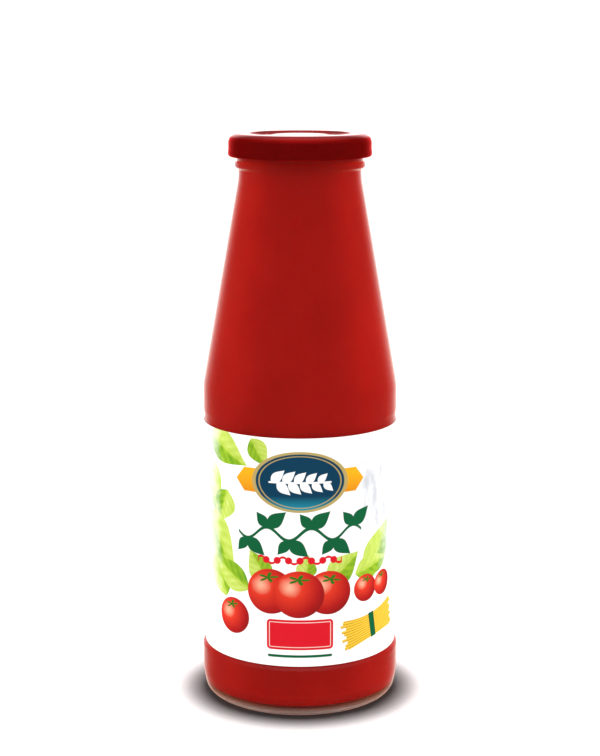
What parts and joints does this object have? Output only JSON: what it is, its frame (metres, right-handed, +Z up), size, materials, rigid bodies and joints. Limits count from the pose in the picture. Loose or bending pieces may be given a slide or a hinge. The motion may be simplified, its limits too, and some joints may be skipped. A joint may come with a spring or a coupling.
{
  "type": "passata bottle",
  "caption": "Shut glass bottle of tomato passata with a long tapered neck, a red lug lid and a wrap-round paper label, standing on its base.",
  "frame": {"origin": "centre of the base, on the surface the bottle stands on", "axes": "+Z up along the bottle's axis, -Y towards the middle of the label, +Y towards the label's lap"},
  "size_m": [0.0802, 0.0802, 0.229],
  "materials": {
    "glass": "clear glossy container glass with a faint green cast",
    "sauce": "smooth deep red tomato passata seen through the glass",
    "lid_lacquer": "red lacquered tinplate, glossy",
    "label_paper": "white coated paper with a printed kitchen pattern"
  },
  "bodies": {
    "root": {"bottle": "glass", "passata": "sauce", "lid": "lid_lacquer", "label": "label_paper"}
  },
  "joints": []
}
